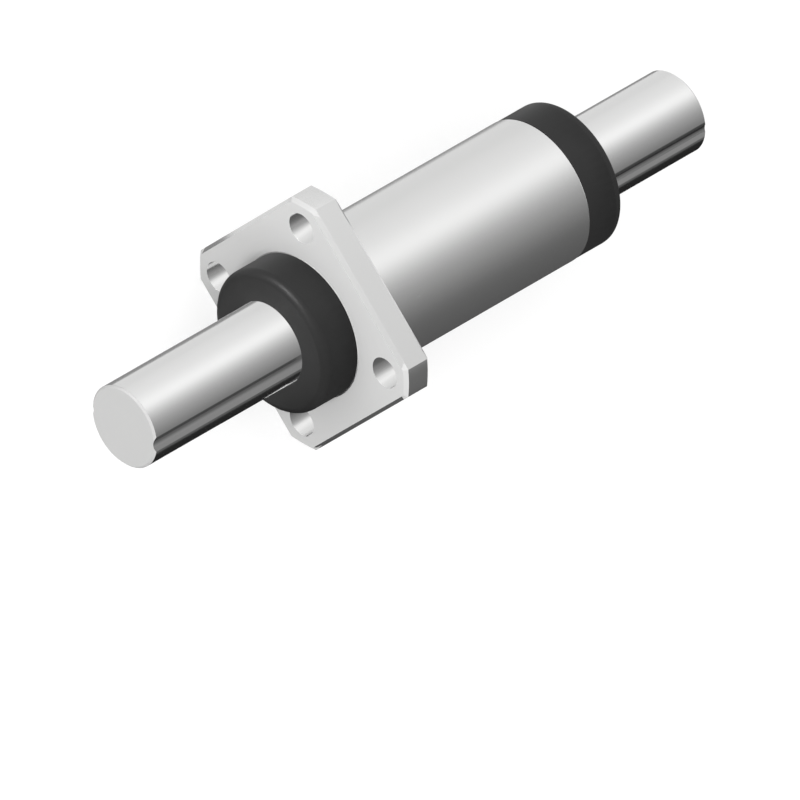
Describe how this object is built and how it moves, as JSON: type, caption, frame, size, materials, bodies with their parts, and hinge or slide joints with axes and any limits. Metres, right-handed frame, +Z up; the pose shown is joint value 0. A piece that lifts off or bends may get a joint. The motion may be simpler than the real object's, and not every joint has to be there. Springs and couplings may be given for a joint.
{
  "type": "ball spline shaft",
  "caption": "Flanged ball spline: a round shaft with two ball grooves slides in a cylindrical nut with a square flange and black end caps, and carries torque.",
  "frame": {"origin": "on the shaft's axis, in the plane of the flange's mounting face", "axes": "+X along the shaft from the flange towards the far end of the nut, +Z up, the flange's flats face Y and Z"},
  "size_m": [0.103, 0.0306, 0.0306],
  "materials": {
    "shaft_steel": "ground and polished bearing steel",
    "nut_steel": "ground bearing steel, satin",
    "end_plate_resin": "moulded black resin",
    "guide_resin": "moulded dark resin",
    "retainer_resin": "moulded dark resin",
    "seal_cover_resin": "moulded black resin",
    "seal_rubber": "black nitrile rubber",
    "ball_steel": "polished bearing steel",
    "screw_steel": "plain steel"
  },
  "bodies": {
    "nut": {"flanged_nut": "nut_steel", "ball_retainer_left": "retainer_resin", "ball_retainer_right": "retainer_resin", "load_balls_upper": "ball_steel", "load_balls_lower": "ball_steel", "return_balls_upper": "ball_steel", "return_balls_lower": "ball_steel", "front_turn_balls_upper": "ball_steel", "front_turn_balls_lower": "ball_steel", "rear_turn_balls_upper": "ball_steel", "rear_turn_balls_lower": "ball_steel", "front_end_plate": "end_plate_resin", "rear_end_plate": "end_plate_resin", "front_return_guide_upper": "guide_resin", "front_return_guide_lower": "guide_resin", "rear_return_guide_upper": "guide_resin", "rear_return_guide_lower": "guide_resin", "front_plate_screws": "screw_steel", "rear_plate_screws": "screw_steel", "front_seal_lip": "seal_rubber", "rear_seal_lip": "seal_rubber", "front_seal_cover": "seal_cover_resin", "rear_seal_cover": "seal_cover_resin"},
    "shaft": {"spline_shaft": "shaft_steel"}
  },
  "joints": [
    {"name": "shaft_slide", "type": "slide", "parent": "nut", "child": "shaft", "axis": [1, 0, 0], "range_m": [-0.02, 0.026]}
  ]
}
